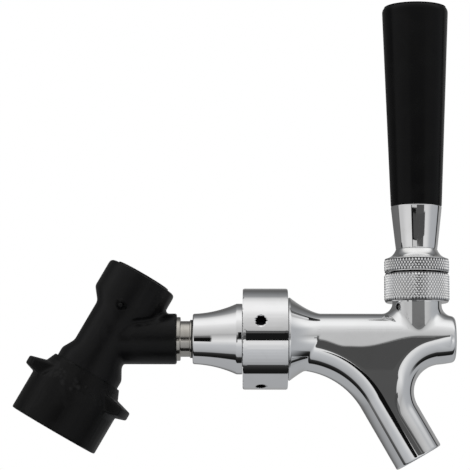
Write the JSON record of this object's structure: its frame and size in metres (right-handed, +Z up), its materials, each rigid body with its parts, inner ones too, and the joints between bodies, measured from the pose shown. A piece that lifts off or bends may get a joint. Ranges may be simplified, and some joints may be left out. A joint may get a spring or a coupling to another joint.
{
  "type": "beer tap",
  "caption": "Chrome beer faucet with a black handle, on a conical adapter and a black plastic quick disconnect that locks with balls on a keg's post.",
  "frame": {"origin": "on the disconnect's axis, at the lower edge of the bore that seals on the keg's post", "axes": "+Z up with the handle upright, +X from the disconnect to the faucet's nose; the disconnect's axis leans 30 degrees from +Z towards +X"},
  "size_m": [0.1773, 0.0402, 0.1869],
  "materials": {
    "chrome": "polished",
    "stainless": "machined",
    "black_plastic": "satin moulded",
    "grip_plastic": "semi-gloss",
    "white_nylon": "natural",
    "seal_rubber": "matt",
    "brass": "turned"
  },
  "bodies": {
    "tap": {"disconnect_body": "black_plastic", "disconnect_cap": "black_plastic", "cap_o_ring": "seal_rubber", "poppet_spring": "stainless", "collar_spring": "stainless", "collar_stop_ring": "stainless", "flare_insert": "stainless", "flare_washer": "white_nylon", "adapter": "chrome", "retaining_ring": "stainless", "coupling_washer": "seal_rubber", "faucet_body": "chrome", "ball_washer": "white_nylon", "friction_washer": "white_nylon", "bonnet": "chrome"},
    "poppet": {"poppet": "stainless", "poppet_seal": "seal_rubber"},
    "lock_collar": {"lock_collar": "black_plastic"},
    "lock_ball_1": {"lock_ball_1": "stainless"},
    "lock_ball_2": {"lock_ball_2": "stainless"},
    "lock_ball_3": {"lock_ball_3": "stainless"},
    "lock_ball_4": {"lock_ball_4": "stainless"},
    "coupling_nut": {"coupling_nut": "chrome"},
    "valve_shaft": {"valve_shaft": "stainless", "seat_washer": "seal_rubber", "seat_nut": "stainless"},
    "handle": {"lever": "stainless", "lever_collar": "chrome", "handle_ferrule": "chrome", "handle_insert": "brass", "handle_grip": "grip_plastic"}
  },
  "joints": [
    {"name": "lever_tilt", "type": "hinge", "parent": "tap", "child": "handle", "pos_m": [0.1404, 0, 0.0481], "axis": [0, 1, 0], "range_deg": [0, 20]},
    {"name": "shaft_slide", "type": "slide", "parent": "tap", "child": "valve_shaft", "axis": [-1, 0, 0], "range_m": [0, 0.0066]},
    {"name": "collar_slide", "type": "slide", "parent": "tap", "child": "lock_collar", "axis": [0.5, 0, 0.866], "range_m": [0, 0.0045], "stiffness_N_per_m": 1200, "springref_m": -0.006, "deforming": ["collar_spring"]},
    {"name": "poppet_slide", "type": "slide", "parent": "tap", "child": "poppet", "axis": [0.5, 0, 0.866], "range_m": [0, 0.003], "stiffness_N_per_m": 250, "springref_m": -0.012, "deforming": ["poppet_spring"]},
    {"name": "coupling_nut_turn", "type": "hinge", "parent": "tap", "child": "coupling_nut", "pos_m": [0.0798, 0, 0.0291], "axis": [1, 0, 0], "continuous": true},
    {"name": "ball_1_slide", "type": "slide", "parent": "tap", "child": "lock_ball_1", "axis": [0.6124, 0.7071, -0.3536], "range_m": [0, 0.0008]},
    {"name": "ball_2_slide", "type": "slide", "parent": "tap", "child": "lock_ball_2", "axis": [-0.6124, 0.7071, 0.3536], "range_m": [0, 0.0008]},
    {"name": "ball_3_slide", "type": "slide", "parent": "tap", "child": "lock_ball_3", "axis": [-0.6124, -0.7071, 0.3536], "range_m": [0, 0.0008]},
    {"name": "ball_4_slide", "type": "slide", "parent": "tap", "child": "lock_ball_4", "axis": [0.6124, -0.7071, -0.3536], "range_m": [0, 0.0008]}
  ],
  "couplings": [
    {"joint": "shaft_slide", "follows": "lever_tilt", "m_per_rad": 0.0187},
    {"joint": "ball_1_slide", "follows": "collar_slide", "ratio": 0.17778},
    {"joint": "ball_2_slide", "follows": "collar_slide", "ratio": 0.17778},
    {"joint": "ball_3_slide", "follows": "collar_slide", "ratio": 0.17778},
    {"joint": "ball_4_slide", "follows": "collar_slide", "ratio": 0.17778}
  ]
}
